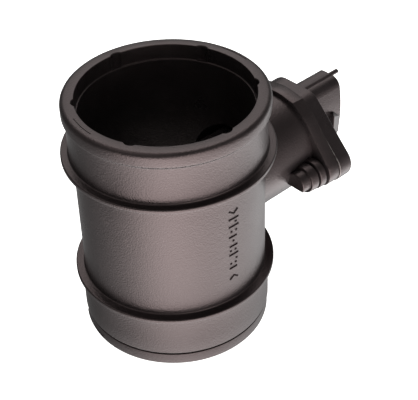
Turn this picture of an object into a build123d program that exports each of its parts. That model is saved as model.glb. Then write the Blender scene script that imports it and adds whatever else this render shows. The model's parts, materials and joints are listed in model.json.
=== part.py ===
from build123d import *
import math
import os

os.makedirs("parts", exist_ok=True)

# Hot-film air-mass meter: a moulded duct with a plug-in sensor.
# Frame: Z is the duct's axis, the outlet end stands on Z = 0 and the sensor's neck points along +X.
# All sizes in millimetres.

# ---------------------------------------------------------------- duct
H = 109.3                 # overall length of the duct
WALL_R = 38.65            # plain outside of the duct between the hose stops
SPIGOT_OD_R = 40.0        # outside of both hose spigots
BORE_R = 35.0             # air bore
INLET_R = 35.6            # wider seat at the inlet
INLET_DEPTH = 6.7         # depth of that seat
TOP_BEAD_R = 41.3         # hose bead at the inlet
TOP_BEAD_LOW, TOP_BEAD_TAPER = 103.6, 102.2
TOP_BEAD_ROUND = 2.0
LOW_BAND_R, LOW_BAND_H = 39.6, 5.4       # band at the outlet rim
LOW_GROOVE_R, LOW_GROOVE_H = 38.7, 6.5   # groove above it
COLLAR_T = 2.0            # hose stops
COLLAR_TOP_R, COLLAR_TOP_Z = 43.3, 83.35
COLLAR_LOW_R, COLLAR_LOW_Z = 42.4, 25.65
NOTCH_ANGLES = (-33.2, 23.8, 83.4, 146.3, 206.7, 268.3)   # locating grooves in the seat

# ---------------------------------------------------------------- neck and its flange
NECK_Z = 56.7             # height of the neck's axis
NECK_R = 22.1
NECK_BORE_R = 18.5
FL_IN = 61.5              # inner face of the duct's flange
FL_OUT = 67.6             # joint face between flange and sensor
PLATE_OUT = 75.0          # outer face of the sensor's plate
LOBE_Y, LOBE_Z, LOBE_R = 25.2, 51.8, 7.5
PLATE_LOBE_R = 7.9
FL_TOP_Z = 79.3
PLATE_TOP_Z = 78.65
LOW_ARC_R = 24.0          # lower edge of both plates, round the neck

# ---------------------------------------------------------------- screw bosses
BOSS_END = 47.6
BOSS_R = 5.0
BOSS_FLAT_Z = 49.7        # underside of the boss's end
RIB_1 = (52.0, 56.0, 6.1, 6.4)    # first round rib: from, to, radius at each end
RIB_2 = (57.0, 60.2, 6.7, 6.9)
PILOT_R = 1.7

# ---------------------------------------------------------------- sensor module
SPIGOT_R = 18.2
SPIGOT_IN = 56.0
RING_X, RING_W, GROOVE_R = 61.4, 2.9, 16.1
BLADE_Y = 7.0             # half thickness of the measuring blade
BLADE_Z = 15.5            # half width of the blade along the air flow
BLADE_TIP = -4.0
COVER_T = 1.2
BAY_X0, BAY_X1 = 33.0, 53.5      # electronics bay
BAY_ZL, BAY_ZH = -11.4, 12.4      # from the neck's axis
BAY_FLOOR = -1.5
PIN_LEDGE = 51.2
LEG1_X0, LEG1_X1 = 12.0, 21.0    # bypass duct, first leg
LEG2_X0, LEG2_X1 = 1.0, 10.0     # bypass duct, second leg
DUCT_FLOOR = -5.0
DUCT_LOW, DUCT_HIGH = -12.0, 11.2
CARRIER_W, CARRIER_T = 6.0, 0.5
BEAD_X, BEAD_Z = 28.0, -13.3

# ---------------------------------------------------------------- connector
MOUTH = 96.5
SH_Y = 6.95
SH_TOP, SH_LOW = 73.9, 40.3
SH_BULGE_R, SH_BULGE_Z = 72.0, 57.5      # its -Y side is slightly bowed
SH_WALL = 1.6
LUG_X, LUG_TOP, LUG_LOW, LUG_OUT = 89.1, 59.3, 46.8, 2.9
SOCKET_X = 79.0
PIN_PITCH = 5.0
PIN_W, PIN_T = 1.5, 0.6
PIN_X0, PIN_X1 = 51.5, 91.0


def outline(z_top, half_top, lobe_r, arc_r, top_r):
    """Edges whose hull is the plate's outline, in the YZ plane."""
    with BuildLine() as edges:
        if top_r > 0:
            CenterArc((half_top, z_top - top_r), top_r, 0, 360)
            CenterArc((-half_top, z_top - top_r), top_r, 0, 360)
        else:
            Line((-half_top, z_top), (half_top, z_top))
        CenterArc((LOBE_Y, LOBE_Z), lobe_r, 0, 360)
        CenterArc((-LOBE_Y, LOBE_Z), lobe_r, 0, 360)
        CenterArc((0, NECK_Z), arc_r, 215, 110)
    return edges.edges()


# the flange on the duct widens a little from its inner face to the joint face
with BuildPart() as flange:
    with BuildSketch(Plane.YZ.offset(FL_IN)):
        make_hull(outline(FL_TOP_Z, 9.9, LOBE_R - 0.1, LOW_ARC_R, 0))
    with BuildSketch(Plane.YZ.offset(FL_OUT)):
        make_hull(outline(FL_TOP_Z, 10.3, LOBE_R, LOW_ARC_R, 0))
    loft(ruled=True)

# one boss: a round core whose end is flat below, with two round ribs; the screw's pilot hole is cut later
with BuildPart() as boss:
    with BuildSketch(Plane.XY.offset(LOBE_Z)):
        with BuildLine():
            Polyline(
                *[
                    (x, -LOBE_Y - r)
                    for x, r in (
                        (BOSS_END, 0), (BOSS_END, BOSS_R), (RIB_1[0], BOSS_R), (RIB_1[0], RIB_1[2]),
                        (RIB_1[1], RIB_1[3]), (RIB_1[1], BOSS_R), (RIB_2[0], BOSS_R), (RIB_2[0], RIB_2[2]),
                        (RIB_2[1], RIB_2[3]), (RIB_2[1], BOSS_R), (FL_IN + 1, BOSS_R), (FL_IN + 1, 0),
                    )
                ],
                close=True,
            )
        make_face()
    revolve(axis=Axis((0, -LOBE_Y, LOBE_Z), (1, 0, 0)))
    rims = boss.edges().filter_by(GeomType.CIRCLE).filter_by(lambda e: e.radius > 6)
    fillet(rims, 0.35)
    with BuildSketch(Plane.XY.offset(BOSS_FLAT_Z)):
        with Locations(((BOSS_END + RIB_1[0]) / 2 - 1, -LOBE_Y)):
            Rectangle(RIB_1[0] - BOSS_END + 2, 12)
    extrude(amount=-6, mode=Mode.SUBTRACT)
    fillet(boss.faces().sort_by(Axis.X)[0].edges().filter_by(GeomType.CIRCLE), 0.5)

# raised moulding mark on the duct's side: a column of plain bars and dots between two chevrons
MARK_ANGLE = -91.5
MARK_BARS = (   # height, from and to along the wall
    (69.6, -3.1, 2.0), (65.9, -3.1, 2.0), (60.7, -3.1, 1.0), (55.9, -2.8, 1.3), (51.5, -3.1, 1.6), (44.6, -3.0, 0.9),
)
MARK_DOTS = (   # height, place along the wall
    (67.8, 0.5), (63.4, -1.8), (63.4, 0.7), (58.4, -0.8), (53.6, -2.2), (53.6, 0.2), (48.9, 0.7), (46.9, -2.2), (46.9, 0.2),
)
MARK_W = 0.75
with BuildPart() as mark:
    mark_plane = Plane(
        origin=(0, 0, 0),
        x_dir=(-math.sin(math.radians(MARK_ANGLE)), math.cos(math.radians(MARK_ANGLE)), 0),
        z_dir=(math.cos(math.radians(MARK_ANGLE)), math.sin(math.radians(MARK_ANGLE)), 0),
    )
    with BuildSketch(mark_plane.offset(37.0)):
        for zc, u0, u1 in MARK_BARS:
            with Locations(((u0 + u1) / 2, zc)):
                Rectangle(u1 - u0, MARK_W)
        for zc, u in MARK_DOTS:
            with Locations((u, zc)):
                Rectangle(MARK_W, MARK_W)
        for u, zc, slope in ((-1.63, 72.9, -36.7), (0.53, 72.9, 36.7), (-1.93, 39.5, 37.9), (0.1, 39.5, -37.9)):
            with Locations(Location((u, zc, 0), slope)):
                Rectangle(3.1, MARK_W)
    extrude(amount=3.0)
    Cylinder(WALL_R + 0.38, 200, mode=Mode.INTERSECT)

with BuildPart() as tube_body:
    # turned form of the duct: bore, inlet seat, beads and hose stops
    with BuildSketch(Plane.XZ):
        with BuildLine():
            Polyline(
                (BORE_R, 0.6),
                (BORE_R + 0.6, 0),
                (LOW_BAND_R - 0.6, 0),
                (LOW_BAND_R, 0.6),
                (LOW_BAND_R, LOW_BAND_H),
                (LOW_GROOVE_R, LOW_BAND_H),
                (LOW_GROOVE_R, LOW_GROOVE_H),
                (SPIGOT_OD_R, LOW_GROOVE_H),
                (SPIGOT_OD_R, COLLAR_LOW_Z),
                (COLLAR_LOW_R, COLLAR_LOW_Z),
                (COLLAR_LOW_R, COLLAR_LOW_Z + COLLAR_T),
                (WALL_R, COLLAR_LOW_Z + COLLAR_T),
                (WALL_R, COLLAR_TOP_Z),
                (COLLAR_TOP_R, COLLAR_TOP_Z),
                (COLLAR_TOP_R, COLLAR_TOP_Z + COLLAR_T),
                (SPIGOT_OD_R, COLLAR_TOP_Z + COLLAR_T),
                (SPIGOT_OD_R, TOP_BEAD_TAPER),
                (TOP_BEAD_R, TOP_BEAD_LOW),
                (TOP_BEAD_R, H),
                (INLET_R + 0.3, H),
                (INLET_R, H - 0.3),
                (INLET_R, H - INLET_DEPTH),
                (BORE_R, H - INLET_DEPTH),
                close=True,
            )
        make_face()
    revolve(axis=Axis.Z)
    hoops = (
        tube_body.edges()
        .filter_by(GeomType.CIRCLE)
        .filter_by(lambda e: e.radius > 42)
    )
    fillet(hoops, 0.45)
    roots = (
        tube_body.edges()
        .filter_by(GeomType.CIRCLE)
        .filter_by(lambda e: 38 < e.radius < 40.5 and 25 < e.center().Z < 86)
    )
    fillet(roots, 0.5)
    crown = (
        tube_body.edges()
        .filter_by(GeomType.CIRCLE)
        .filter_by(lambda e: abs(e.radius - TOP_BEAD_R) < 0.01 and e.center().Z > H - 0.1)
    )
    fillet(crown, TOP_BEAD_ROUND)
    # neck
    with BuildSketch(Plane.YZ.offset(20)):
        with Locations((0, NECK_Z)):
            Circle(NECK_R)
    extrude(amount=FL_IN + 0.2 - 20)
    # flange and its two bosses
    add(flange.part)
    add(boss.part)
    add(mirror(boss.part, about=Plane.XZ))
    # mark, and a sliver of moulding flash on the outlet band
    add(mark.part)
    with BuildSketch(Plane.XZ.rotated((0, 0, 147))):
        with Locations((LOW_BAND_R, 1.3)):
            Rectangle(0.6, 0.5)
    revolve(axis=Axis.Z, revolution_arc=28)
    # clear the bore again and open the neck
    Cylinder(BORE_R, 90, align=(Align.CENTER, Align.CENTER, Align.MIN), mode=Mode.SUBTRACT)
    with BuildSketch(Plane.YZ.offset(18)):
        with Locations((0, NECK_Z)):
            Circle(NECK_BORE_R)
    extrude(amount=FL_OUT - 18 + 1, mode=Mode.SUBTRACT)
    with BuildSketch(Plane.YZ.offset(FL_OUT)):
        with Locations((0, NECK_Z)):
            Circle(NECK_BORE_R + 0.9)
    extrude(amount=-1.5, taper=31, mode=Mode.SUBTRACT)
    # blind pilot holes for the thread-forming screws
    with BuildSketch(Plane.YZ.offset(FL_OUT + 1)):
        with Locations((LOBE_Y, LOBE_Z), (-LOBE_Y, LOBE_Z)):
            Circle(PILOT_R)
    extrude(amount=-(FL_OUT + 1 - 52.6), mode=Mode.SUBTRACT)
    # six locating grooves in the inlet seat
    with BuildSketch(Plane.XY.offset(H - INLET_DEPTH)):
        for a in NOTCH_ANGLES:
            with Locations((33.65 * math.cos(math.radians(a)), 33.65 * math.sin(math.radians(a)))):
                Circle(3.05)
    extrude(amount=INLET_DEPTH + 1, mode=Mode.SUBTRACT)
tube_body.part.label = "tube_body"
export_step(tube_body.part, "parts/tube_body.step")

# ---------------------------------------------------------------- sensor housing, one moulding
def block(x0, x1, y0, y1, z0, z1, mode=Mode.ADD):
    """A plain block between two corners, z counted from the neck's axis."""
    with Locations(((x0 + x1) / 2, (y0 + y1) / 2, NECK_Z + (z0 + z1) / 2)):
        Box(x1 - x0, y1 - y0, z1 - z0, mode=mode)


def bowed(z):
    """Y of the connector's bowed side at a height."""
    return SH_BULGE_R - SH_Y - math.sqrt(SH_BULGE_R**2 - (z - SH_BULGE_Z) ** 2)


# connector section, Y to the right and Z up: the -Y side is bowed, with a wide round corner at its top
# and a slope at its foot; the other side is plain
with BuildSketch() as shroud:
    with BuildLine():
        ThreePointArc((bowed(SH_TOP), SH_TOP), (bowed(SH_BULGE_Z), SH_BULGE_Z), (bowed(49.7), 49.7))
        Polyline(
            (bowed(49.7), 49.7), (-5.2, SH_LOW + 3.8), (-1.2, SH_LOW), (SH_Y, SH_LOW), (SH_Y, SH_TOP), (bowed(SH_TOP), SH_TOP),
        )
    make_face()
    corners = shroud.vertices()
    fillet(corners.filter_by(lambda v: v.X > SH_Y - 0.1), 2.9)
    corners = shroud.vertices()
    fillet(corners.filter_by(lambda v: v.X < -3 and v.Y > SH_TOP - 0.1), 5.0)
    corners = shroud.vertices()
    fillet(corners.filter_by(lambda v: -1.5 < v.X < -1 and v.Y < SH_LOW + 0.1), 5.0)
    corners = shroud.vertices()
    fillet(corners.filter_by(lambda v: -5.5 < v.X < -5 and v.Y < SH_LOW + 4), 5.0)

# the socket inside it follows the same section
with BuildSketch() as socket:
    add(shroud.sketch_local)
    offset(amount=-SH_WALL, mode=Mode.REPLACE)

# locking lug on the bowed side: steep back, ramp towards the mouth, sloping top
with BuildPart() as lug:
    with BuildSketch(Plane.XZ.offset(SH_Y - 1.3)):
        Polygon(
            (LUG_X, LUG_TOP), (LUG_X + 2.5, LUG_TOP), (MOUTH - 0.6, LUG_TOP - 4.3), (MOUTH - 0.6, LUG_LOW), (LUG_X, LUG_LOW),
            align=None,
        )
    extrude(amount=LUG_OUT + 1.3)
    split(bisect_by=Plane(origin=(LUG_X + 2.5, -SH_Y, LUG_TOP), z_dir=(1, -1, 1)), keep=Keep.BOTTOM)
    split(
        bisect_by=Plane(origin=(MOUTH - 0.6, -SH_Y, LUG_LOW), z_dir=(LUG_OUT, LUG_X - MOUTH + 0.6, 0)),
        keep=Keep.BOTTOM,
    )
    fillet(lug.edges().filter_by(Axis.Z).group_by(Axis.Y)[0], 0.25)


with BuildPart() as sensor_housing:
    # plate
    with BuildSketch(Plane.YZ.offset(FL_OUT)):
        make_hull(outline(PLATE_TOP_Z, 6.28, PLATE_LOBE_R, LOW_ARC_R, 8.5))
    extrude(amount=PLATE_OUT - FL_OUT)
    fillet(sensor_housing.faces().sort_by(Axis.X)[-1].edges(), 0.6)
    fillet(sensor_housing.faces().sort_by(Axis.X)[0].edges(), 0.35)
    # spigot with the groove for the seal ring
    with BuildSketch(Plane.YZ.offset(SPIGOT_IN)):
        with Locations((0, NECK_Z)):
            Circle(SPIGOT_R)
    extrude(amount=FL_OUT - SPIGOT_IN + 0.5)
    chamfer(
        sensor_housing.edges().filter_by(GeomType.CIRCLE).filter_by(lambda e: abs(e.center().X - SPIGOT_IN) < 0.01),
        0.6,
    )
    with BuildSketch(Plane.YZ.offset(RING_X - RING_W / 2)):
        with Locations((0, NECK_Z)):
            Circle(SPIGOT_R + 1)
            Circle(GROOVE_R, mode=Mode.SUBTRACT)
    extrude(amount=RING_W, mode=Mode.SUBTRACT)
    # measuring blade, rounded on its leading and trailing edges
    with BuildSketch(Plane.YZ.offset(BLADE_TIP)):
        with Locations((0, NECK_Z)):
            RectangleRounded(2 * BLADE_Y, 2 * BLADE_Z, 1.3)
    extrude(amount=SPIGOT_IN - BLADE_TIP + 0.5)
    fillet(sensor_housing.faces().sort_by(Axis.X)[0].edges(), 0.8)
    # connector shroud with its round centre rib and a locking lug on each side
    with BuildSketch(Plane.YZ.offset(PLATE_OUT - 0.5)):
        add(shroud.sketch_local)
    extrude(amount=MOUTH - PLATE_OUT + 0.5)
    with Locations(((PLATE_OUT + MOUTH + 3.5) / 2, -0.15, SH_TOP - 0.1)):
        Cylinder(1.05, MOUTH + 4.5 - PLATE_OUT, rotation=(0, 90, 0))
    add(lug.part)
    add(mirror(lug.part, about=Plane.XZ))
    # socket
    with BuildSketch(Plane.YZ.offset(SOCKET_X)):
        add(socket.sketch_local)
    extrude(amount=MOUTH - SOCKET_X + 1, mode=Mode.SUBTRACT)
    # clearance holes for the two fixing screws
    with BuildSketch(Plane.YZ.offset(FL_OUT - 0.5)):
        with Locations((LOBE_Y, LOBE_Z), (-LOBE_Y, LOBE_Z)):
            Circle(2.3)
    extrude(amount=PLATE_OUT - FL_OUT + 1, mode=Mode.SUBTRACT)
    # electronics bay, its step for the contact ends, and the cover's rebate
    block(BAY_X0, PIN_LEDGE, BAY_FLOOR, BLADE_Y + 1, BAY_ZL, BAY_ZH, Mode.SUBTRACT)
    block(PIN_LEDGE - 1, BAY_X1, -PIN_T / 2, BLADE_Y + 1, BAY_ZL, BAY_ZH, Mode.SUBTRACT)
    block(BAY_X0 - 1.4, BAY_X1 + 1.4, BLADE_Y - COVER_T, BLADE_Y + 1, BAY_ZL - 1.4, BAY_ZH + 0.4, Mode.SUBTRACT)
    # bypass duct: in at the leading edge, down, round the partition and out at the side
    block(LEG1_X0, LEG1_X1, DUCT_FLOOR, BLADE_Y + 1, DUCT_LOW, DUCT_HIGH, Mode.SUBTRACT)
    block(LEG1_X0, LEG1_X1, DUCT_FLOOR, BLADE_Y - 2.0, DUCT_HIGH - 0.5, BLADE_Z + 1, Mode.SUBTRACT)
    block(LEG2_X0, LEG2_X1, DUCT_FLOOR, BLADE_Y + 1, DUCT_LOW, DUCT_HIGH - 1.2, Mode.SUBTRACT)
    block(LEG2_X1 - 0.5, LEG1_X0 + 0.5, DUCT_FLOOR, BLADE_Y + 1, DUCT_LOW, -6.5, Mode.SUBTRACT)
    block(LEG2_X0 + 1, LEG2_X1 - 1, -BLADE_Y - 1, DUCT_FLOOR + 0.5, 2.5, DUCT_HIGH - 2.2, Mode.SUBTRACT)
    block(LEG2_X0 - 1.2, LEG1_X1 + 1.4, BLADE_Y - COVER_T, BLADE_Y + 1, DUCT_LOW - 0.9, DUCT_HIGH + 1.2, Mode.SUBTRACT)
    # slot that carries the sensing element's holder
    block(LEG1_X1 - 0.5, BAY_X0 + 0.5, -CARRIER_T, 0, -CARRIER_W / 2, CARRIER_W / 2, Mode.SUBTRACT)
    # notch for the air-temperature bead, and the holes of its two leads
    block(BEAD_X - 4, BEAD_X + 4, -BLADE_Y - 1, BLADE_Y + 1, -BLADE_Z - 1, -11.2, Mode.SUBTRACT)
    with BuildSketch(Plane.YZ.offset(BEAD_X - 6)):
        with Locations((0, NECK_Z + BEAD_Z)):
            Circle(0.3)
    extrude(amount=12, mode=Mode.SUBTRACT)
    # slots of the five contacts
    for i in range(5):
        block(BAY_X1 - 0.5, SOCKET_X + 0.5, -PIN_T / 2, PIN_T / 2,
              (i - 2) * PIN_PITCH - PIN_W / 2, (i - 2) * PIN_PITCH + PIN_W / 2, Mode.SUBTRACT)
sensor_housing.part.label = "sensor_housing"
export_step(sensor_housing.part, "parts/sensor_housing.step")

# ---------------------------------------------------------------- lids of the measuring blade
with BuildPart() as electronics_cover:
    block(BAY_X0 - 1.4, BAY_X1 + 1.4, BLADE_Y - COVER_T, BLADE_Y, BAY_ZL - 1.4, BAY_ZH + 0.4)
    fillet(electronics_cover.faces().sort_by(Axis.Y)[-1].edges(), 0.3)
electronics_cover.part.label = "electronics_cover"
export_step(electronics_cover.part, "parts/electronics_cover.step")

with BuildPart() as duct_cover:
    block(LEG2_X0 - 1.2, LEG1_X1 + 1.4, BLADE_Y - COVER_T, BLADE_Y, DUCT_LOW - 0.9, DUCT_HIGH + 1.2)
    fillet(duct_cover.faces().sort_by(Axis.Y)[-1].edges(), 0.3)
    # a low rib on its inner side stands on the partition
    block(LEG2_X1 + 0.7, LEG1_X0 - 0.7, BLADE_Y - COVER_T - 0.0, BLADE_Y - 0.4, -6.0, DUCT_HIGH - 1.6)
duct_cover.part.label = "duct_cover"
export_step(duct_cover.part, "parts/duct_cover.step")

# ---------------------------------------------------------------- electronics
BASE_TOP = -0.5
BOARD_TOP = 0.3
with BuildPart() as base_plate:
    block(BAY_X0 + 0.3, PIN_LEDGE - 0.3, BAY_FLOOR, BASE_TOP, BAY_ZL + 0.6, BAY_ZH - 0.6)
    fillet(base_plate.edges().filter_by(Axis.Y), 1.2)
base_plate.part.label = "base_plate"
export_step(base_plate.part, "parts/base_plate.step")

BOARD_X0, BOARD_X1 = 35.0, 50.4
with BuildPart() as circuit_board:
    block(BOARD_X0, BOARD_X1, BASE_TOP, BOARD_TOP, -8.4, 11.2)
    chamfer(circuit_board.edges().filter_by(Axis.Y), 0.5)
circuit_board.part.label = "circuit_board"
export_step(circuit_board.part, "parts/circuit_board.step")

with BuildPart() as evaluation_chip:
    block(39.4, 46.4, BOARD_TOP, BOARD_TOP + 1.3, -1.0, 6.0)
    chamfer(evaluation_chip.faces().sort_by(Axis.Y)[-1].edges(), 0.3)
    with Locations(Location((40.4, BOARD_TOP + 1.3, NECK_Z + 5.0), (90, 0, 0))):
        Cylinder(0.45, 0.3, mode=Mode.SUBTRACT)
evaluation_chip.part.label = "evaluation_chip"
export_step(evaluation_chip.part, "parts/evaluation_chip.step")

with BuildPart() as board_capacitors:
    for cx, cz in ((37.2, 8.6), (40.6, 8.6), (44.0, 8.6), (47.6, 3.8), (47.6, -1.2)):
        block(cx - 1.0, cx + 1.0, BOARD_TOP, BOARD_TOP + 1.1, cz - 0.55, cz + 0.55)
        block(cx - 1.15, cx - 0.7, BOARD_TOP, BOARD_TOP + 1.2, cz - 0.65, cz + 0.65)
        block(cx + 0.7, cx + 1.15, BOARD_TOP, BOARD_TOP + 1.2, cz - 0.65, cz + 0.65)
board_capacitors.part.label = "board_capacitors"
export_step(board_capacitors.part, "parts/board_capacitors.step")

with BuildPart() as board_resistors:
    for cx, cz in ((37.0, -5.6), (40.2, -5.6), (43.4, -5.6), (46.6, -5.6)):
        block(cx - 0.8, cx + 0.8, BOARD_TOP, BOARD_TOP + 0.5, cz - 0.45, cz + 0.45)
        block(cx - 0.95, cx - 0.55, BOARD_TOP, BOARD_TOP + 0.55, cz - 0.5, cz + 0.5)
        block(cx + 0.55, cx + 0.95, BOARD_TOP, BOARD_TOP + 0.55, cz - 0.5, cz + 0.5)
board_resistors.part.label = "board_resistors"
export_step(board_resistors.part, "parts/board_resistors.step")

CARRIER_TIP = 12.8
with BuildPart() as sensor_carrier:
    block(CARRIER_TIP, BOARD_X0 - 0.4, -CARRIER_T, 0, -CARRIER_W / 2, CARRIER_W / 2)
    fillet(sensor_carrier.edges().filter_by(Axis.Y).group_by(Axis.X)[0], 0.8)
sensor_carrier.part.label = "sensor_carrier"
export_step(sensor_carrier.part, "parts/sensor_carrier.step")

with BuildPart() as sensing_element:
    block(14.2, 18.4, 0, 0.4, -2.1, 2.1)
    # the thin membrane is the floor of a shallow square recess
    block(15.0, 17.6, 0.25, 1.0, -1.3, 1.3, Mode.SUBTRACT)
sensing_element.part.label = "sensing_element"
export_step(sensing_element.part, "parts/sensing_element.step")

with BuildPart() as contact_pin_1:
    block(PIN_X0, PIN_X1, -PIN_T / 2, PIN_T / 2, -2 * PIN_PITCH - PIN_W / 2, -2 * PIN_PITCH + PIN_W / 2)
    chamfer(contact_pin_1.faces().sort_by(Axis.X)[-1].edges().filter_by(Axis.Y), 0.4)
    chamfer(contact_pin_1.faces().sort_by(Axis.X)[-1].edges().filter_by(Axis.Z), 0.18)
contact_pin_1.part.label = "contact_pin_1"
export_step(contact_pin_1.part, "parts/contact_pin_1.step")

with BuildPart() as contact_pin_2:
    block(PIN_X0, PIN_X1, -PIN_T / 2, PIN_T / 2, -PIN_PITCH - PIN_W / 2, -PIN_PITCH + PIN_W / 2)
    chamfer(contact_pin_2.faces().sort_by(Axis.X)[-1].edges().filter_by(Axis.Y), 0.4)
    chamfer(contact_pin_2.faces().sort_by(Axis.X)[-1].edges().filter_by(Axis.Z), 0.18)
contact_pin_2.part.label = "contact_pin_2"
export_step(contact_pin_2.part, "parts/contact_pin_2.step")

with BuildPart() as contact_pin_3:
    block(PIN_X0, PIN_X1, -PIN_T / 2, PIN_T / 2, -PIN_W / 2, PIN_W / 2)
    chamfer(contact_pin_3.faces().sort_by(Axis.X)[-1].edges().filter_by(Axis.Y), 0.4)
    chamfer(contact_pin_3.faces().sort_by(Axis.X)[-1].edges().filter_by(Axis.Z), 0.18)
contact_pin_3.part.label = "contact_pin_3"
export_step(contact_pin_3.part, "parts/contact_pin_3.step")

with BuildPart() as contact_pin_4:
    block(PIN_X0, PIN_X1, -PIN_T / 2, PIN_T / 2, PIN_PITCH - PIN_W / 2, PIN_PITCH + PIN_W / 2)
    chamfer(contact_pin_4.faces().sort_by(Axis.X)[-1].edges().filter_by(Axis.Y), 0.4)
    chamfer(contact_pin_4.faces().sort_by(Axis.X)[-1].edges().filter_by(Axis.Z), 0.18)
contact_pin_4.part.label = "contact_pin_4"
export_step(contact_pin_4.part, "parts/contact_pin_4.step")

with BuildPart() as contact_pin_5:
    block(PIN_X0, PIN_X1, -PIN_T / 2, PIN_T / 2, 2 * PIN_PITCH - PIN_W / 2, 2 * PIN_PITCH + PIN_W / 2)
    chamfer(contact_pin_5.faces().sort_by(Axis.X)[-1].edges().filter_by(Axis.Y), 0.4)
    chamfer(contact_pin_5.faces().sort_by(Axis.X)[-1].edges().filter_by(Axis.Z), 0.18)
contact_pin_5.part.label = "contact_pin_5"
export_step(contact_pin_5.part, "parts/contact_pin_5.step")

# thin ribbons bridge from the board to the inner ends of the contacts
with BuildPart() as bond_ribbons:
    for i in range(5):
        with BuildSketch(Plane.XY.offset(NECK_Z + (i - 2) * PIN_PITCH - 0.4)):
            Polygon(
                (49.3, BOARD_TOP), (50.0, BOARD_TOP), (50.45, BOARD_TOP + 0.55), (51.5, BOARD_TOP + 0.55),
                (51.95, BOARD_TOP), (52.7, BOARD_TOP), (52.7, BOARD_TOP + 0.15), (52.03, BOARD_TOP + 0.15),
                (51.6, BOARD_TOP + 0.7), (50.35, BOARD_TOP + 0.7), (49.92, BOARD_TOP + 0.15), (49.3, BOARD_TOP + 0.15),
                align=None,
            )
        extrude(amount=0.8)
bond_ribbons.part.label = "bond_ribbons"
export_step(bond_ribbons.part, "parts/bond_ribbons.step")

# ---------------------------------------------------------------- air-temperature bead on its leads
with BuildPart() as thermistor_leads:
    with BuildSketch(Plane.YZ.offset(BEAD_X - 6)):
        with Locations((0, NECK_Z + BEAD_Z)):
            Circle(0.3)
    extrude(amount=5.2)
    with BuildSketch(Plane.YZ.offset(BEAD_X + 6)):
        with Locations((0, NECK_Z + BEAD_Z)):
            Circle(0.3)
    extrude(amount=-5.2)
thermistor_leads.part.label = "thermistor_leads"
export_step(thermistor_leads.part, "parts/thermistor_leads.step")

with BuildPart() as thermistor_bead:
    with BuildSketch(Plane.YZ.offset(BEAD_X - 1.6)):
        with Locations((0, NECK_Z + BEAD_Z)):
            Circle(1.05)
    extrude(amount=3.2)
    fillet(thermistor_bead.edges(), 0.95)
    with BuildSketch(Plane.YZ.offset(BEAD_X - 2)):
        with Locations((0, NECK_Z + BEAD_Z)):
            Circle(0.3)
    extrude(amount=1.2, mode=Mode.SUBTRACT)
    with BuildSketch(Plane.YZ.offset(BEAD_X + 2)):
        with Locations((0, NECK_Z + BEAD_Z)):
            Circle(0.3)
    extrude(amount=-1.2, mode=Mode.SUBTRACT)
thermistor_bead.part.label = "thermistor_bead"
export_step(thermistor_bead.part, "parts/thermistor_bead.step")

# ---------------------------------------------------------------- seal ring
with BuildPart() as seal_ring:
    with BuildSketch(Plane.XY.offset(NECK_Z)):
        with Locations((RING_X, GROOVE_R + 1.18)):
            Circle(1.18)
    revolve(axis=Axis((0, 0, NECK_Z), (1, 0, 0)))
seal_ring.part.label = "seal_ring"
export_step(seal_ring.part, "parts/seal_ring.step")

# ---------------------------------------------------------------- two fixing screws, pan heads with a six-lobe drive
SCREW_TIP = 53.2
with BuildPart() as fixing_screws:
    for side in (-1, 1):
        with BuildSketch(Plane.XY.offset(LOBE_Z)):
            with BuildLine():
                Polyline(
                    *[
                        (x, side * LOBE_Y + r)
                        for x, r in (
                            (SCREW_TIP, 0), (SCREW_TIP, 0.9), (SCREW_TIP + 1.6, PILOT_R - 0.04),
                            (FL_OUT + 0.6, PILOT_R - 0.04), (FL_OUT + 1.0, 2.0), (PLATE_OUT, 2.0),
                            (PLATE_OUT, 4.0), (PLATE_OUT + 1.2, 4.0), (PLATE_OUT + 2.1, 3.5),
                            (PLATE_OUT + 2.5, 2.4), (PLATE_OUT + 2.5, 0),
                        )
                    ],
                    close=True,
                )
            make_face()
        revolve(axis=Axis((0, side * LOBE_Y, LOBE_Z), (1, 0, 0)))
        with BuildSketch(Plane.YZ.offset(PLATE_OUT + 3)):
            with Locations((side * LOBE_Y, LOBE_Z)):
                Circle(1.45)
                with PolarLocations(1.45, 6):
                    Circle(0.42)
                with PolarLocations(1.62, 6, start_angle=30):
                    Circle(0.36, mode=Mode.SUBTRACT)
        extrude(amount=-2.1, mode=Mode.SUBTRACT)
fixing_screws.part.label = "fixing_screws"
export_step(fixing_screws.part, "parts/fixing_screws.step")
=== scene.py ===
import bpy
import bmesh
import json
import math
from mathutils import Matrix, Vector, noise


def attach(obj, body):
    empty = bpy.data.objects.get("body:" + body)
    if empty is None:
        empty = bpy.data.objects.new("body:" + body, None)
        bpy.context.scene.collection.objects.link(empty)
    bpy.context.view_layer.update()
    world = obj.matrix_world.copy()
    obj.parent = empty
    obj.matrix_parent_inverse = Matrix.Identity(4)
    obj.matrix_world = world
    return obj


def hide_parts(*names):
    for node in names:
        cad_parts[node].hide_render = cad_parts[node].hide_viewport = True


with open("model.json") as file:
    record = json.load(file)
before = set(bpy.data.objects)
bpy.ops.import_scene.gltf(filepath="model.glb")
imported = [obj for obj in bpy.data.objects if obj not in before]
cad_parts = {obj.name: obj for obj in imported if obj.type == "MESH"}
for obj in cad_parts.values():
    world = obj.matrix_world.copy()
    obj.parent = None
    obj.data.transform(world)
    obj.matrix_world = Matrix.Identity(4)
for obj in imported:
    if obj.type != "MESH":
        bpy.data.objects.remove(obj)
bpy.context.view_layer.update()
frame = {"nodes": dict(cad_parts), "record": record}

nodes = frame["nodes"]
scene = bpy.context.scene

# ------------------------------------------------------------------ sizes, in millimetres, as in the CAD
H = 109.3
WALL_R, BORE_R, SEAT = 38.65, 35.0, 6.7
NECK_Z, NECK_R, NECK_BORE_R = 56.7, 22.1, 18.5
FL_IN, FL_OUT, PLATE_OUT = 61.5, 67.6, 75.0
LOBE_Y, LOBE_Z, LOBE_R = 25.2, 51.8, 7.5
NOTCH_ANGLES = (-33.2, 23.8, 83.4, 146.3, 206.7, 268.3)
MARK_ANGLE = -91.5


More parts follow.
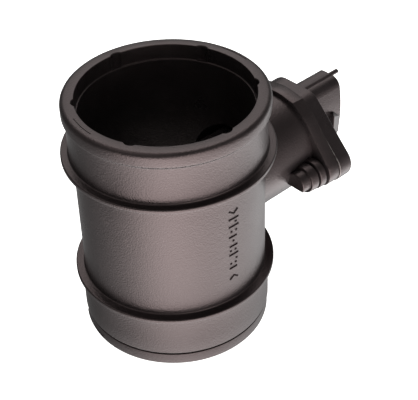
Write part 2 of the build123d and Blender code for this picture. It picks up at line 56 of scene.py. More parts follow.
# ------------------------------------------------------------------ mesh helpers
def make_object(name, verts, faces):
    me = bpy.data.meshes.new(name)
    me.from_pydata([tuple(v) for v in verts], [], faces)
    bm = bmesh.new()
    bm.from_mesh(me)
    bmesh.ops.recalc_face_normals(bm, faces=bm.faces)
    bm.to_mesh(me)
    bm.free()
    ob = bpy.data.objects.new(name, me)
    scene.collection.objects.link(ob)
    return ob


def drop(*obs):
    for ob in obs:
        me = ob.data
        bpy.data.objects.remove(ob)
        if me.users == 0:
            bpy.data.meshes.remove(me)


def combine(target, tool, op, solver="MANIFOLD"):
    """Boolean of two closed meshes, applied at once."""
    m = target.modifiers.new("b", "BOOLEAN")
    m.operation = op
    m.object = tool
    m.solver = solver
    bpy.context.view_layer.update()
    dg = bpy.context.evaluated_depsgraph_get()
    me = bpy.data.meshes.new_from_object(target.evaluated_get(dg))
    target.modifiers.clear()
    old = target.data
    target.data = me
    bpy.data.meshes.remove(old)
    drop(tool)


def rounded(points, step=18.0):
    """A closed outline of (a, b, radius) corners, with each corner rounded by an arc."""
    out = []
    n = len(points)
    for i, (a, b, r) in enumerate(points):
        p = Vector((a, b))
        p0 = Vector(points[i - 1][:2])
        p1 = Vector(points[(i + 1) % n][:2])
        d0, d1 = (p0 - p), (p1 - p)
        l0, l1 = d0.length, d1.length
        d0.normalize()
        d1.normalize()
        turn = math.pi - d0.angle(d1)
        if r <= 0 or turn < 0.02:
            out.append((a, b))
            continue
        t = r * math.tan(turn / 2)
        t = min(t, l0 * 0.49, l1 * 0.49)
        rr = t / math.tan(turn / 2)
        c = p + (d0 + d1).normalized() * (rr / math.cos(turn / 2))
        s, e = p + d0 * t - c, p + d1 * t - c
        k = max(2, int(math.degrees(turn) / step) + 1)
        a0 = math.atan2(s.y, s.x)
        da = (math.atan2(e.y, e.x) - a0 + math.pi) % (2 * math.pi) - math.pi
        for j in range(k + 1):
            q = a0 + da * j / k
            out.append((c.x + rr * math.cos(q), c.y + rr * math.sin(q)))
    return out


def split_long(outline, longest):
    out = []
    n = len(outline)
    for i in range(n):
        a, b = Vector(outline[i]), Vector(outline[(i + 1) % n])
        k = max(1, int((b - a).length / longest))
        for j in range(k):
            p = a.lerp(b, j / k)
            out.append((p.x, p.y))
    return out


def ring_solid(name, outline, n, place=None, start=0.0, sweep=360.0):
    """Solid of revolution of a closed (radius, height) outline. place maps (x, y, z) of a turning about Z to its place."""
    verts, faces = [], []
    whole = abs(sweep - 360.0) < 1e-6
    cols = n if whole else n + 1
    m = len(outline)
    for i in range(cols):
        a = math.radians(start + sweep * i / n)
        for r, z in outline:
            v = (r * math.cos(a), r * math.sin(a), z)
            verts.append(place(v) if place else v)
    for i in range(n):
        j = (i + 1) % cols
        for k in range(m):
            l = (k + 1) % m
            faces.append((i * m + k, j * m + k, j * m + l, i * m + l))
    if not whole:
        faces.append(tuple(range(m)))
        faces.append(tuple(n * m + k for k in reversed(range(m))))
    return make_object(name, verts, faces)


def spindle(name, outline, n, place=None):
    """Turned solid whose (radius, height) outline starts and ends on the axis."""
    verts, faces = [], []
    body = outline[1:-1]
    m = len(body)
    pts = [(0, 0, outline[0][1]), (0, 0, outline[-1][1])]
    for i in range(n):
        a = 2 * math.pi * i / n
        for r, z in body:
            pts.append((r * math.cos(a), r * math.sin(a), z))
    verts = [place(p) if place else p for p in pts]
    for i in range(n):
        j = (i + 1) % n
        faces.append((0, 2 + i * m, 2 + j * m))
        faces.append((1, 2 + j * m + m - 1, 2 + i * m + m - 1))
        for k in range(m - 1):
            faces.append((2 + i * m + k, 2 + i * m + k + 1, 2 + j * m + k + 1, 2 + j * m + k))
    return make_object(name, verts, faces)


def loft(name, sections):
    """Closed solid through sections with the same number of points."""
    verts, faces = [], []
    m = len(sections[0])
    for s in sections:
        verts += s
    for i in range(len(sections) - 1):
        for k in range(m):
            l = (k + 1) % m
            faces.append((i * m + k, i * m + l, (i + 1) * m + l, (i + 1) * m + k))
    faces.append(tuple(reversed(range(m))))
    faces.append(tuple((len(sections) - 1) * m + k for k in range(m)))
    return make_object(name, verts, faces)


def block(name, lo, hi, bevel=0.0, seg=3, edges=None):
    """A box between two corners with its edges rounded; edges picks which ones by their two end points."""
    bm = bmesh.new()
    bmesh.ops.create_cube(bm, size=1.0)
    for v in bm.verts:
        v.co = Vector([lo[i] + (v.co[i] + 0.5) * (hi[i] - lo[i]) for i in range(3)])
    if bevel > 0:
        es = [e for e in bm.edges if edges is None or edges(e.verts[0].co, e.verts[1].co)]
        bmesh.ops.bevel(bm, geom=es, offset=bevel, segments=seg, profile=0.5, affect="EDGES")
    me = bpy.data.meshes.new(name)
    bm.to_mesh(me)
    bm.free()
    ob = bpy.data.objects.new(name, me)
    scene.collection.objects.link(ob)
    return ob


def along_x(cy, cz):
    """A turning about Z becomes a turning about an axis along X through (cy, cz)."""
    return lambda v: (v[2], cy + v[0], cz + v[1])


def hull_outline(circles, inset=0.0, n=288):
    """Outline of the hull of circles (y, z, r), shrunk by inset, as points by the direction of their normal."""
    pts = []
    for i in range(n):
        a = 2 * math.pi * (i + 0.5) / n
        c, s = math.cos(a), math.sin(a)
        y, z, r = max(circles, key=lambda q: q[0] * c + q[1] * s + q[2])
        pts.append((y + (r - inset) * c, z + (r - inset) * s))
    return pts


def finish_mesh(ob, sharp=32.0):
    """Millimetres to metres, tidy, smooth with sharp edges kept."""
    bm = bmesh.new()
    bm.from_mesh(ob.data)
    bmesh.ops.remove_doubles(bm, verts=bm.verts, dist=0.0004)
    bmesh.ops.dissolve_degenerate(bm, edges=bm.edges, dist=0.0004)
    loose = [v for v in bm.verts if not v.link_faces]
    bmesh.ops.delete(bm, geom=loose, context="VERTS")
    bmesh.ops.scale(bm, vec=(0.001, 0.001, 0.001), verts=bm.verts)
    bm.to_mesh(ob.data)
    bm.free()
    ob.data.polygons.foreach_set("use_smooth", [True] * len(ob.data.polygons))
    ob.data.set_sharp_from_angle(angle=math.radians(sharp))
    ob.data.update()


# ------------------------------------------------------------------ the duct, one moulding
def build_tube():
    profile = rounded([
        (BORE_R, 0.0, 0.5), (39.6, 0.0, 0.6), (39.6, 5.4, 0.3), (38.7, 5.5, 0.2), (38.7, 6.4, 0.2), (40.0, 6.5, 0.35),
        (40.0, 25.65, 0.5), (42.4, 25.65, 0.5), (42.4, 27.65, 0.55), (WALL_R, 27.65, 0.6),
        (WALL_R, 83.35, 0.5), (43.3, 83.35, 0.5), (43.3, 85.35, 0.55), (40.0, 85.35, 0.6),
        (40.0, 102.2, 1.0), (41.3, 103.6, 0.8), (41.3, H, 2.0), (35.6, H, 0.3),
        (35.6, H - SEAT, 0.25), (BORE_R, H - SEAT, 0.25),
    ])
    tube = ring_solid("duct_moulding", split_long(profile, 6.0), 216)

    # neck with its root fillet
    neck = ring_solid("neck", split_long(rounded([(12.0, 30.0, 0), (NECK_R, 30.0, 0), (NECK_R, FL_IN + 1.0, 0), (12.0, FL_IN + 1.0, 0)]), 8.0), 160,
                      along_x(0, NECK_Z))
    combine(tube, neck, "UNION")
    rho, sink = 1.5, 0.02
    n, k = 200, 6
    verts, faces = [], []
    for i in range(n):
        th = 2 * math.pi * i / n
        ys, zs = math.sin(th), math.cos(th)
        y, z = (NECK_R + rho) * ys, (NECK_R + rho) * zs
        x = math.sqrt((WALL_R + rho) ** 2 - y * y)
        ball = Vector((x, y, z))
        on_tube = Vector((x * (WALL_R - sink) / (WALL_R + rho), y * (WALL_R - sink) / (WALL_R + rho), z))
        on_neck = Vector((x, (NECK_R - sink) * ys, (NECK_R - sink) * zs))
        yi, zi = (NECK_R - 0.8) * ys, (NECK_R - 0.8) * zs
        deep = Vector((math.sqrt((WALL_R - 0.8) ** 2 - yi * yi), yi, zi))
        ring = [deep]
        d0, d1 = (on_tube - ball), (on_neck - ball)
        for j in range(k + 1):
            t = j / k
            d = d0.normalized().slerp(d1.normalized(), t) if d0.length > 0 else d0
            ring.append(ball + d * (d0.length * (1 - t) + d1.length * t))
        verts += [(p.x, p.y, p.z + NECK_Z) for p in ring]
    m = k + 2
    for i in range(n):
        j = (i + 1) % n
        for q in range(m):
            l = (q + 1) % m
            faces.append((i * m + q, j * m + q, j * m + l, i * m + l))
    combine(tube, make_object("root", verts, faces), "UNION")

    # flange, widening a little towards the joint
    def section(x, inset):
        f = (x - FL_IN) / (FL_OUT - FL_IN)
        half = 9.5 + 0.4 * f
        lobe = LOBE_R - 0.1 * (1 - f)
        c = [(-half, 78.7, 0.6), (half, 78.7, 0.6), (LOBE_Y, LOBE_Z, lobe), (-LOBE_Y, LOBE_Z, lobe), (0, NECK_Z, 24.0)]
        return [(x, y, z) for y, z in hull_outline(c, inset)]

    fl = loft("flange", [section(FL_IN, 0.45), section(FL_IN + 0.13, 0.13), section(FL_IN + 0.45, 0.0),
                         section(FL_IN + 2.5, 0.0), section(FL_OUT - 0.35, 0.0), section(FL_OUT - 0.1, 0.08), section(FL_OUT, 0.3)])
    combine(tube, fl, "UNION")

    # ribbed bosses of the two screws, each with a flat under its end
    for side in (-1, 1):
        prof = rounded([(0, 47.6, 0), (5.0, 47.6, 0.5), (5.0, 52.0, 0.15), (6.1, 52.0, 0.4), (6.4, 56.0, 0.35), (5.0, 56.0, 0.2),
                        (5.0, 57.0, 0.2), (6.7, 57.0, 0.4), (6.9, 60.2, 0.35), (5.0, 60.2, 0.3), (5.0, FL_IN + 0.6, 0), (0, FL_IN + 0.6, 0)])
        start = min(range(len(prof)), key=lambda i: (abs(prof[i][0]) + abs(prof[i][1] - 47.6)))
        prof = prof[start:] + prof[:start]
        boss = spindle("boss", prof, 96, along_x(side * LOBE_Y, LOBE_Z))
        combine(boss, block("flat", (46.0, side * LOBE_Y - 8, 43.0), (51.99, side * LOBE_Y + 8, 49.7)), "DIFFERENCE")
        combine(tube, boss, "UNION")

    # plain raised marks on the side: bars and chevrons, set into the wall
    ca, sa = math.cos(math.radians(MARK_ANGLE)), math.sin(math.radians(MARK_ANGLE))

    def on_wall(u, r, z):
        """Point r from the axis, u millimetres round the wall from the column's middle."""
        a = math.radians(MARK_ANGLE) + u / WALL_R
        return (r * math.cos(a), r * math.sin(a), z)

    def bar(u0, z0, u1, z1, w):
        """A low ridge with sloping sides from one point of the wall to another."""
        du, dz = u1 - u0, z1 - z0
        l = math.hypot(du, dz)
        tu, tz = du / l * 0.22, dz / l * 0.22
        nu, nz = -dz / l * w / 2, du / l * w / 2
        secs = []
        steps = max(3, int(l / 1.2))
        for i in range(steps + 1):
            t = i / steps
            cu, cz = u0 + du * t, z0 + dz * t
            k = 0.0
            if i == 0:
                k = 1.0
            elif i == steps:
                k = -1.0
            pu, pz = cu + tu * k, cz + tz * k
            secs.append([on_wall(cu - nu, WALL_R - 0.6, cz - nz), on_wall(cu - nu, WALL_R + 0.01, cz - nz), on_wall(pu - nu * 0.22, WALL_R + 0.4, pz - nz * 0.22),
                         on_wall(pu + nu * 0.22, WALL_R + 0.4, pz + nz * 0.22), on_wall(cu + nu, WALL_R + 0.01, cz + nz), on_wall(cu + nu, WALL_R - 0.6, cz + nz)])
        return loft("bar", secs)

    for zc, u0, u1 in ((69.6, -3.1, 2.0), (65.9, -3.1, 2.0), (60.7, -3.1, 1.0), (55.9, -2.8, 1.3), (51.5, -3.1, 1.6), (44.6, -3.0, 0.9)):
        combine(tube, bar(u0, zc, u1, zc, 0.95), "UNION")
    for zc, u in ((67.8, 0.5), (63.4, -1.8), (63.4, 0.7), (58.4, -0.8), (53.6, -2.2), (53.6, 0.2), (48.9, 0.7), (46.9, -2.2), (46.9, 0.2)):
        combine(tube, bar(u - 0.5, zc, u + 0.5, zc, 0.95), "UNION")
    for u0, z0, u1, z1 in ((-2.8, 73.8, -0.4, 72.0), (-0.7, 72.0, 1.7, 73.8), (-3.0, 38.6, -0.75, 40.4), (-1.05, 40.4, 1.2, 38.6)):
        combine(tube, bar(u0, z0, u1, z1, 0.9), "UNION")

    # sliver of flash on the outlet bead
    flash = ring_solid("flash", [(39.2, 1.05), (39.8, 1.15), (39.87, 1.35), (39.8, 1.55), (39.2, 1.55)], 30, None, 147, 28)
    combine(tube, flash, "UNION")

    # bore, neck bore, pilot holes
    bore = spindle("bore", [(0, -2), (BORE_R, -2), (BORE_R, 90), (0, 90)], 216)
    combine(tube, bore, "DIFFERENCE")
    nb = spindle("neck_bore", [(0, 18), (NECK_BORE_R, 18), (NECK_BORE_R, 66.1), (NECK_BORE_R + 0.9, 67.6), (NECK_BORE_R + 0.9, 69), (0, 69)], 144, along_x(0, NECK_Z))
    combine(tube, nb, "DIFFERENCE")
    for side in (-1, 1):
        ph = spindle("pilot", [(0, 52.6), (1.2, 52.6), (1.75, 53.1), (1.75, 70), (0, 70)], 32, along_x(side * LOBE_Y, LOBE_Z))
        combine(tube, ph, "DIFFERENCE")
    # locating grooves of the inlet seat
    for a in NOTCH_ANGLES:
        cx, cy = 33.65 * math.cos(math.radians(a)), 33.65 * math.sin(math.radians(a))
        nt = spindle("notch", [(0, H - SEAT), (3.05, H - SEAT), (3.05, H - 0.35), (3.35, H + 0.02), (3.5, H + 1.5), (0, H + 1.5)], 48, lambda v, cx=cx, cy=cy: (cx + v[0], cy + v[1], v[2]))
        combine(tube, nt, "DIFFERENCE")
    # two shallow arcs left by the mould on the rim
    for r, a0, a1 in ((38.06, 163, 182), (38.9, -8, 12.6)):
        arc = ring_solid("arc", [(r - 0.16, H - 0.28), (r + 0.16, H - 0.28), (r + 0.24, H + 0.5), (r - 0.24, H + 0.5)], 24, None, a0, a1 - a0)
        combine(tube, arc, "DIFFERENCE")
    return tube


tube = build_tube()
finish_mesh(tube)
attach(tube, "root")
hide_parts("tube_body")
print("TUBE", len(tube.data.vertices), sum(len(p.vertices) - 2 for p in tube.data.polygons))


# ------------------------------------------------------------------ materials
def principled(name):
    mat = bpy.data.materials.new(name)
    mat.use_nodes = True
    nt = mat.node_tree
    return mat, nt, nt.nodes["Principled BSDF"]


def nd(nt, kind, **values):
    n = nt.nodes.new(kind)
    for k, v in values.items():
        if k.startswith("_"):
            setattr(n, k[1:], v)
        else:
            n.inputs[k.replace("__", " ")].default_value = v
    return n


def tex_noise(nt, scale, detail=3.0, rough=0.5, vector=None):
    n = nt.nodes.new("ShaderNodeTexNoise")
    n.inputs["Scale"].default_value = scale
    n.inputs["Detail"].default_value = detail
    n.inputs["Roughness"].default_value = rough
    if vector is not None:
        nt.links.new(vector, n.inputs["Vector"])
    return n


def ramp(nt, fac, stops):
    r = nt.nodes.new("ShaderNodeValToRGB")
    els = r.color_ramp.elements
    els[0].position, els[0].color = stops[0][0], (*stops[0][1], 1)
    els[1].position, els[1].color = stops[-1][0], (*stops[-1][1], 1)
    for p, c in stops[1:-1]:
        e = els.new(p)
        e.color = (*c, 1)
    nt.links.new(fac, r.inputs["Fac"])
    return r


def raised_mark(nt, coords):
    """1 on the raised marks of the duct's side and 0 elsewhere, from their place on the duct; it sets where shade is
    painted on them.
    """
    L = nt.links.new

    def math_node(op, a, b=None):
        n = nt.nodes.new("ShaderNodeMath")
        n.operation = op
        for i, x in enumerate((a, b)):
            if x is None:
                continue
            if isinstance(x, float):
                n.inputs[i].default_value = x
            else:
                L(x, n.inputs[i])
        return n.outputs[0]

    sep = nt.nodes.new("ShaderNodeSeparateXYZ")
    L(coords, sep.inputs[0])
    x, y, z = sep.outputs
    r = math_node("SQRT", math_node("ADD", math_node("MULTIPLY", x, x), math_node("MULTIPLY", y, y)))
    a = math.radians(MARK_ANGLE)
    along = math_node("ADD", math_node("MULTIPLY", x, math.cos(a)), math_node("MULTIPLY", y, math.sin(a)))
    near = math_node("GREATER_THAN", math_node("DIVIDE", along, r), math.cos(math.radians(8.0)))
    high = math_node("LESS_THAN", math_node("ABSOLUTE", math_node("SUBTRACT", z, 0.0555)), 0.0255)
    up = nt.nodes.new("ShaderNodeMapRange")
    L(r, up.inputs["Value"])
    up.inputs["From Min"].default_value = (WALL_R + 0.04) * 0.001
    up.inputs["From Max"].default_value = (WALL_R + 0.12) * 0.001
    return math_node("MULTIPLY", math_node("MULTIPLY", near, high), up.outputs["Result"])


def painted_joint_highlight(nt, coords, patchy):
    """Thin line of painted highlight on the plate's edge at its joint with the flange, standing in for light caught by
    the edge; patchy along its length.
    """
    L = nt.links.new
    sep = nt.nodes.new("ShaderNodeSeparateXYZ")
    L(coords, sep.inputs[0])
    off = nt.nodes.new("ShaderNodeMath")
    off.operation = "SUBTRACT"
    L(sep.outputs[0], off.inputs[0])
    off.inputs[1].default_value = (FL_OUT + 0.2) * 0.001
    size = nt.nodes.new("ShaderNodeMath")
    size.operation = "ABSOLUTE"
    L(off.outputs[0], size.inputs[0])
    band = nt.nodes.new("ShaderNodeMapRange")
    L(size.outputs[0], band.inputs["Value"])
    band.inputs["From Min"].default_value = 0.00010
    band.inputs["From Max"].default_value = 0.00024
    band.inputs["To Min"].default_value = 1.0
    band.inputs["To Max"].default_value = 0.0
    some = nt.nodes.new("ShaderNodeMapRange")
    L(patchy, some.inputs["Value"])
    some.inputs["From Min"].default_value = 0.36
    some.inputs["From Max"].default_value = 0.50
    both = nt.nodes.new("ShaderNodeMath")
    both.operation = "MULTIPLY"
    L(band.outputs["Result"], both.inputs[0])
    L(some.outputs["Result"], both.inputs[1])
    return both.outputs[0]


def black_plastic(name, base=(0.0115, 0.0095, 0.0095), rough=(0.27, 0.33), grain=0.38, seed=0.0, mark=False, joint=False):
    """Glass-filled black plastic: fine grain, cloudy variation in gloss, scattered dust; with mark, painted shade on
    the raised marks; with joint, a painted highlight along the plate's joint.
    """
    mat, nt, bsdf = principled(name)
    L = nt.links.new
    geo = nd(nt, "ShaderNodeTexCoord")
    mp = nd(nt, "ShaderNodeMapping")
    mp.inputs["Location"].default_value = (seed, seed * 0.7, 0)
    L(geo.outputs["Object"], mp.inputs["Vector"])
    v = mp.outputs["Vector"]
    cloud = tex_noise(nt, 55, 4, 0.55, v)
    fine = tex_noise(nt, 1500, 1, 0.5, v)
    mid = tex_noise(nt, 320, 3, 0.6, v)
    col = ramp(nt, cloud.outputs["Fac"], [(0.3, tuple(c * 0.8 for c in base)), (0.7, tuple(c * 1.35 for c in base))])
    dust = ramp(nt, mid.outputs["Fac"], [(0.66, (0, 0, 0)), (0.74, (1, 1, 1))])
    mix = nd(nt, "ShaderNodeMix", _data_type="RGBA")
    L(dust.outputs["Color"], mix.inputs[0])
    L(col.outputs["Color"], mix.inputs[6])
    mix.inputs[7].default_value = (base[0] * 2.6, base[1] * 2.5, base[2] * 2.4, 1)
    rr = nd(nt, "ShaderNodeMapRange")
    L(cloud.outputs["Fac"], rr.inputs["Value"])
    rr.inputs["From Min"].default_value = 0.3
    rr.inputs["From Max"].default_value = 0.7
    rr.inputs["To Min"].default_value = rough[0]
    rr.inputs["To Max"].default_value = rough[1]
    if mark:
        raised = raised_mark(nt, geo.outputs["Object"])
        # painted shade: the raised marks get a base colour 0.4 of the plastic's, standing in for the shade on their
        # sides; their roughness is raised as well
        dark = nd(nt, "ShaderNodeMix", _data_type="RGBA")
        L(raised, dark.inputs[0])
        L(mix.outputs[2], dark.inputs[6])
        dark.inputs[7].default_value = (base[0] * 0.4, base[1] * 0.4, base[2] * 0.4, 1)
        L(dark.outputs[2], bsdf.inputs["Base Color"])
        dull = nd(nt, "ShaderNodeMix", _data_type="FLOAT")
        L(raised, dull.inputs[0])
        L(rr.outputs["Result"], dull.inputs[2])
        dull.inputs[3].default_value = 0.95
        L(dull.outputs[0], bsdf.inputs["Roughness"])
    elif joint:
        # painted highlight: a pale line along the plate's edge at the joint, standing in for light caught by the edge
        joint_highlight = painted_joint_highlight(nt, geo.outputs["Object"], mid.outputs["Fac"])
        pale = nd(nt, "ShaderNodeMix", _data_type="RGBA")
        L(joint_highlight, pale.inputs[0])
        L(mix.outputs[2], pale.inputs[6])
        pale.inputs[7].default_value = (0.11, 0.102, 0.096, 1)
        L(pale.outputs[2], bsdf.inputs["Base Color"])
        L(rr.outputs["Result"], bsdf.inputs["Roughness"])
    else:
        L(mix.outputs[2], bsdf.inputs["Base Color"])
        L(rr.outputs["Result"], bsdf.inputs["Roughness"])
    bsdf.inputs["IOR"].default_value = 1.5
    bsdf.inputs["Specular Tint"].default_value = (1.0, 0.75, 0.735, 1)
    b1 = nd(nt, "ShaderNodeBump", Strength=grain, Distance=0.0003)
    L(fine.outputs["Fac"], b1.inputs["Height"])
    b2 = nd(nt, "ShaderNodeBump", Strength=0.1, Distance=0.0004)
    L(mid.outputs["Fac"], b2.inputs["Height"])
    L(b1.outputs["Normal"], b2.inputs["Normal"])
    L(b2.outputs["Normal"], bsdf.inputs["Normal"])
    return mat


def metal(name, color, rough=0.3, grain=(400, 30, 400), strength=0.15):
    mat, nt, bsdf = principled(name)
    L = nt.links.new
    geo = nd(nt, "ShaderNodeTexCoord")
    mp = nd(nt, "ShaderNodeMapping")
    mp.inputs["Scale"].default_value = grain
    L(geo.outputs["Object"], mp.inputs["Vector"])
    n = tex_noise(nt, 5, 4, 0.6, mp.outputs["Vector"])
    c = ramp(nt, n.outputs["Fac"], [(0.3, tuple(x * 0.85 for x in color)), (0.7, tuple(min(1, x * 1.1) for x in color))])
    L(c.outputs["Color"], bsdf.inputs["Base Color"])
    bsdf.inputs["Metallic"].default_value = 1.0
    rr = nd(nt, "ShaderNodeMapRange")
    L(n.outputs["Fac"], rr.inputs["Value"])
    rr.inputs["To Min"].default_value = rough * 0.7
    rr.inputs["To Max"].default_value = rough * 1.4
    L(rr.outputs["Result"], bsdf.inputs["Roughness"])
    b = nd(nt, "ShaderNodeBump", Strength=strength, Distance=0.0001)
    L(n.outputs["Fac"], b.inputs["Height"])
    L(b.outputs["Normal"], bsdf.inputs["Normal"])
    return mat


def speckled(name, color, rough=0.35, spread=0.25, scale=900, metallic=0.0, strength=0.1):
    mat, nt, bsdf = principled(name)
    L = nt.links.new
    geo = nd(nt, "ShaderNodeTexCoord")
    n = tex_noise(nt, scale, 3, 0.6, geo.outputs["Object"])
    c = ramp(nt, n.outputs["Fac"], [(0.3, tuple(x * (1 - spread) for x in color)), (0.7, tuple(min(1, x * (1 + spread)) for x in color))])
    L(c.outputs["Color"], bsdf.inputs["Base Color"])
    bsdf.inputs["Metallic"].default_value = metallic
    rr = nd(nt, "ShaderNodeMapRange")
    L(n.outputs["Fac"], rr.inputs["Value"])
    rr.inputs["To Min"].default_value = rough * 0.8
    rr.inputs["To Max"].default_value = min(1.0, rough * 1.25)
    L(rr.outputs["Result"], bsdf.inputs["Roughness"])
    b = nd(nt, "ShaderNodeBump", Strength=strength, Distance=0.0001)
    L(n.outputs["Fac"], b.inputs["Height"])
    L(b.outputs["Normal"], bsdf.inputs["Normal"])
    return mat


MATS = {
    "black_plastic": black_plastic("black_plastic_duct", mark=True),
    "black_plastic_insert": black_plastic("black_plastic_sensor", base=(0.0105, 0.009, 0.0092), rough=(0.26, 0.32), seed=3.0, joint=True),
    "cover_plastic": black_plastic("cover_plastic", base=(0.014, 0.013, 0.013), rough=(0.35, 0.42), seed=5.0),
    "plate_metal": metal("plate_metal", (0.62, 0.62, 0.63), 0.35),
    "board": speckled("board_ceramic", (0.70, 0.69, 0.63), 0.45, 0.06),
    "chip": speckled("chip_epoxy", (0.03, 0.03, 0.032), 0.5, 0.25, 3000, strength=0.2),
    "parts_tan": speckled("parts_tan", (0.42, 0.31, 0.19), 0.35, 0.15, 2500),
    "parts_dark": speckled("parts_dark", (0.05, 0.05, 0.06), 0.3, 0.2, 2500),
    "carrier_metal": metal("carrier_metal", (0.55, 0.55, 0.54), 0.3),
    "silicon": speckled("silicon", (0.16, 0.18, 0.26), 0.12, 0.1, 1500, metallic=0.6, strength=0.02),
    "contact_metal": metal("contact_metal", (0.75, 0.73, 0.68), 0.22),
    "ribbon_metal": metal("ribbon_metal", (0.8, 0.8, 0.8), 0.25),
    "seal_rubber": speckled("seal_rubber", (0.02, 0.02, 0.02), 0.55, 0.3, 1200, strength=0.2),
    "screw_steel": metal("screw_steel", (0.42, 0.42, 0.41), 0.35, (300, 300, 300)),
    "bead_coating": speckled("bead_coating", (0.07, 0.17, 0.09), 0.15, 0.2, 1800),
    "lead_wire": metal("lead_wire", (0.6, 0.6, 0.58), 0.25),
}


def dress(ob, mat):
    ob.data.materials.clear()
    ob.data.materials.append(mat)
    for p in ob.data.polygons:
        p.material_index = 0


dress(tube, MATS["black_plastic"])
for sp in frame["record"]["subparts"]:
    ob = nodes[sp["node"]]
    if sp["node"] == "tube_body":
        continue
    for i in range(max(1, len(ob.material_slots))):
        if ob.material_slots:
            ob.material_slots[i].material = MATS[sp["material_slot"]]

# ------------------------------------------------------------------ stage
def flat_piece(name, verts, faces, mat):
    me = bpy.data.meshes.new(name)
    me.from_pydata(verts, [], faces)
    ob = bpy.data.objects.new(name, me)
    scene.collection.objects.link(ob)
    me.materials.append(mat)
    return ob


# wide pale floor with a round gap where the duct stands, and the covered patch that fills the gap; the patch has a
# faint painted glow that lifts the dark inside of the bore
PATCH_R, S, NR = 0.0385, 6.0, 96
rim_pts = [(PATCH_R * math.cos(2 * math.pi * i / NR), PATCH_R * math.sin(2 * math.pi * i / NR), 0) for i in range(NR)]
far_pts = [(S * math.cos(2 * math.pi * i / NR), S * math.sin(2 * math.pi * i / NR), 0) for i in range(NR)]
fmat, fnt, fb = principled("pale_floor")
fb.inputs["Base Color"].default_value = (0.92, 0.92, 0.9, 1)
fb.inputs["Roughness"].default_value = 0.8
fb.inputs["Emission Color"].default_value = (1.0, 1.0, 0.985, 1)
fb.inputs["Emission Strength"].default_value = 1.3
floor = flat_piece("floor", rim_pts + far_pts, [(i, NR + i, NR + (i + 1) % NR, (i + 1) % NR) for i in range(NR)], fmat)
floor.visible_diffuse = False
floor.visible_glossy = False
floor.visible_shadow = False
pmat, pnt, pb = principled("covered_floor")
pb.inputs["Base Color"].default_value = (0.8, 0.8, 0.79, 1)
pb.inputs["Roughness"].default_value = 0.8
# painted glow: the covered patch emits faintly, lighting the inside of the bore from below where there would be shade
pb.inputs["Emission Color"].default_value = (0.93, 1.0, 0.975, 1)
pb.inputs["Emission Strength"].default_value = 0.55
flat_piece("covered_patch", rim_pts, [tuple(range(NR))], pmat)

# the duct keeps light off the floor close round it: a soft dark ring that only reflections see
smat = bpy.data.materials.new("near_shade")
smat.use_nodes = True
snt = smat.node_tree
snt.nodes.clear()
s_out = snt.nodes.new("ShaderNodeOutputMaterial")
s_mix = snt.nodes.new("ShaderNodeMixShader")
s_clear = snt.nodes.new("ShaderNodeBsdfTransparent")
s_dark = snt.nodes.new("ShaderNodeBsdfDiffuse")
s_dark.inputs["Color"].default_value = (0.03, 0.03, 0.03, 1)
s_co = snt.nodes.new("ShaderNodeTexCoord")
s_len = snt.nodes.new("ShaderNodeVectorMath")
s_len.operation = "LENGTH"
snt.links.new(s_co.outputs["Object"], s_len.inputs[0])
s_map = snt.nodes.new("ShaderNodeMapRange")
s_map.interpolation_type = "SMOOTHSTEP"
snt.links.new(s_len.outputs["Value"], s_map.inputs["Value"])
s_map.inputs["From Min"].default_value = 0.036
s_map.inputs["From Max"].default_value = 0.100
s_map.inputs["To Min"].default_value = 0.45
s_map.inputs["To Max"].default_value = 0.0
snt.links.new(s_map.outputs["Result"], s_mix.inputs[0])
snt.links.new(s_clear.outputs[0], s_mix.inputs[1])
snt.links.new(s_dark.outputs[0], s_mix.inputs[2])
snt.links.new(s_mix.outputs[0], s_out.inputs["Surface"])
shade_pts = [(k * math.cos(2 * math.pi * i / NR), k * math.sin(2 * math.pi * i / NR), -0.0002) for k in (PATCH_R, 0.100) for i in range(NR)]
shade = flat_piece("near_shade", shade_pts, [(i, NR + i, NR + (i + 1) % NR, (i + 1) % NR) for i in range(NR)], smat)
shade.visible_camera = False

# ------------------------------------------------------------------ camera at the photograph's angle
e, roll, turn = 0.673, -0.033, math.radians(-42)
fwd = Vector((0, math.cos(e), -math.sin(e)))
right = Vector((1, 0, 0))
up = Vector((0, math.sin(e), math.cos(e)))
r2 = math.cos(roll) * right + math.sin(roll) * up
u2 = -math.sin(roll) * right + math.cos(roll) * up
rot = Matrix.Rotation(turn, 3, "Z")
pos = rot @ Vector((15.380, -375.315, 245.215)) + Vector((0, 0, H))
cam_data = bpy.data.cameras.new("camera")
cam_data.sensor_fit = "HORIZONTAL"
cam_data.sensor_width = 36.0
cam_data.lens = 1156.2 * 36.0 / 418.0
cam_data.clip_start = 0.01
cam = bpy.data.objects.new("camera", cam_data)
R = Matrix((rot @ r2, rot @ u2, -(rot @ fwd))).transposed()
cam.matrix_world = Matrix.Translation(pos * 0.001) @ R.to_4x4()
scene.collection.objects.link(cam)
scene.camera = cam

# camera's ground direction, and the one to its right
back = Vector((pos.x, pos.y, 0)).normalized()
side = (rot @ right).normalized()

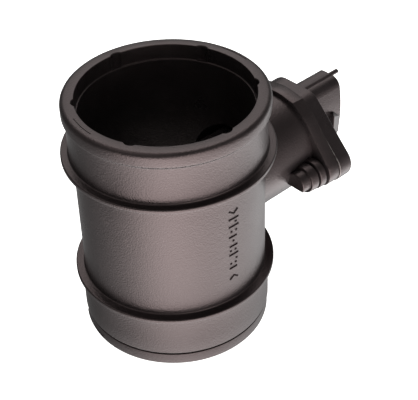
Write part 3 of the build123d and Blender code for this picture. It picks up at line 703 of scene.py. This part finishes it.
# soft studio light: broad even glows all round, each (elevation, azimuth to the camera's right, strength).
# The bright pale table in front of the object gives the ones below the horizon.
GLOWS = [
    (-68, 0, 3.7), (-68, 60, 2.3), (-68, 300, 3.7),
    (-46, 0, 2.2), (-46, 36, 2.2), (-46, 72, 2.4), (-46, 108, 1.8), (-46, 180, 0.46),
    (-25, 0, 3.3), (-25, 132, 1.15), (-25, 332, 4.9),
    (-4, 28, 3.1), (-4, 55, 1.05),
    (53, 180, 3.0), (66, 288, 0.9),
]
SPREAD = 14.0
ALL_ROUND = 0.15
world = bpy.data.worlds.new("studio")
scene.world = world
world.use_nodes = True
wnt = world.node_tree
bg = wnt.nodes["Background"]
wout = wnt.nodes["World Output"]
way = wnt.nodes.new("ShaderNodeTexCoord")
total = None
for el, az, weight in GLOWS:
    a, b = math.radians(el), math.radians(az)
    d = back * math.cos(a) * math.cos(b) + side * math.cos(a) * math.sin(b) + Vector((0, 0, math.sin(a)))
    dot = wnt.nodes.new("ShaderNodeVectorMath")
    dot.operation = "DOT_PRODUCT"
    wnt.links.new(way.outputs["Generated"], dot.inputs[0])
    dot.inputs[1].default_value = tuple(d)
    fall = wnt.nodes.new("ShaderNodeMath")
    fall.operation = "MULTIPLY_ADD"
    wnt.links.new(dot.outputs["Value"], fall.inputs[0])
    fall.inputs[1].default_value = SPREAD
    fall.inputs[2].default_value = -SPREAD
    glow = wnt.nodes.new("ShaderNodeMath")
    glow.operation = "EXPONENT"
    wnt.links.new(fall.outputs["Value"], glow.inputs[0])
    add = wnt.nodes.new("ShaderNodeMath")
    add.operation = "MULTIPLY_ADD"
    wnt.links.new(glow.outputs["Value"], add.inputs[0])
    add.inputs[1].default_value = weight
    if total is None:
        add.inputs[2].default_value = ALL_ROUND
    else:
        wnt.links.new(total, add.inputs[2])
    total = add.outputs["Value"]
bg.inputs["Color"].default_value = (1, 1, 1, 1)
wnt.links.new(total, bg.inputs["Strength"])
plain = wnt.nodes.new("ShaderNodeBackground")
plain.inputs["Color"].default_value = (1.0, 1.0, 0.985, 1)
plain.inputs["Strength"].default_value = 1.3
seen = wnt.nodes.new("ShaderNodeLightPath")
pick = wnt.nodes.new("ShaderNodeMixShader")
wnt.links.new(seen.outputs["Is Camera Ray"], pick.inputs[0])
wnt.links.new(bg.outputs["Background"], pick.inputs[1])
wnt.links.new(plain.outputs["Background"], pick.inputs[2])
wnt.links.new(pick.outputs["Shader"], wout.inputs["Surface"])

scene.view_settings.view_transform = "Standard"
scene.view_settings.look = "None"
scene.view_settings.exposure = 0.0
scene.view_settings.gamma = 1.0
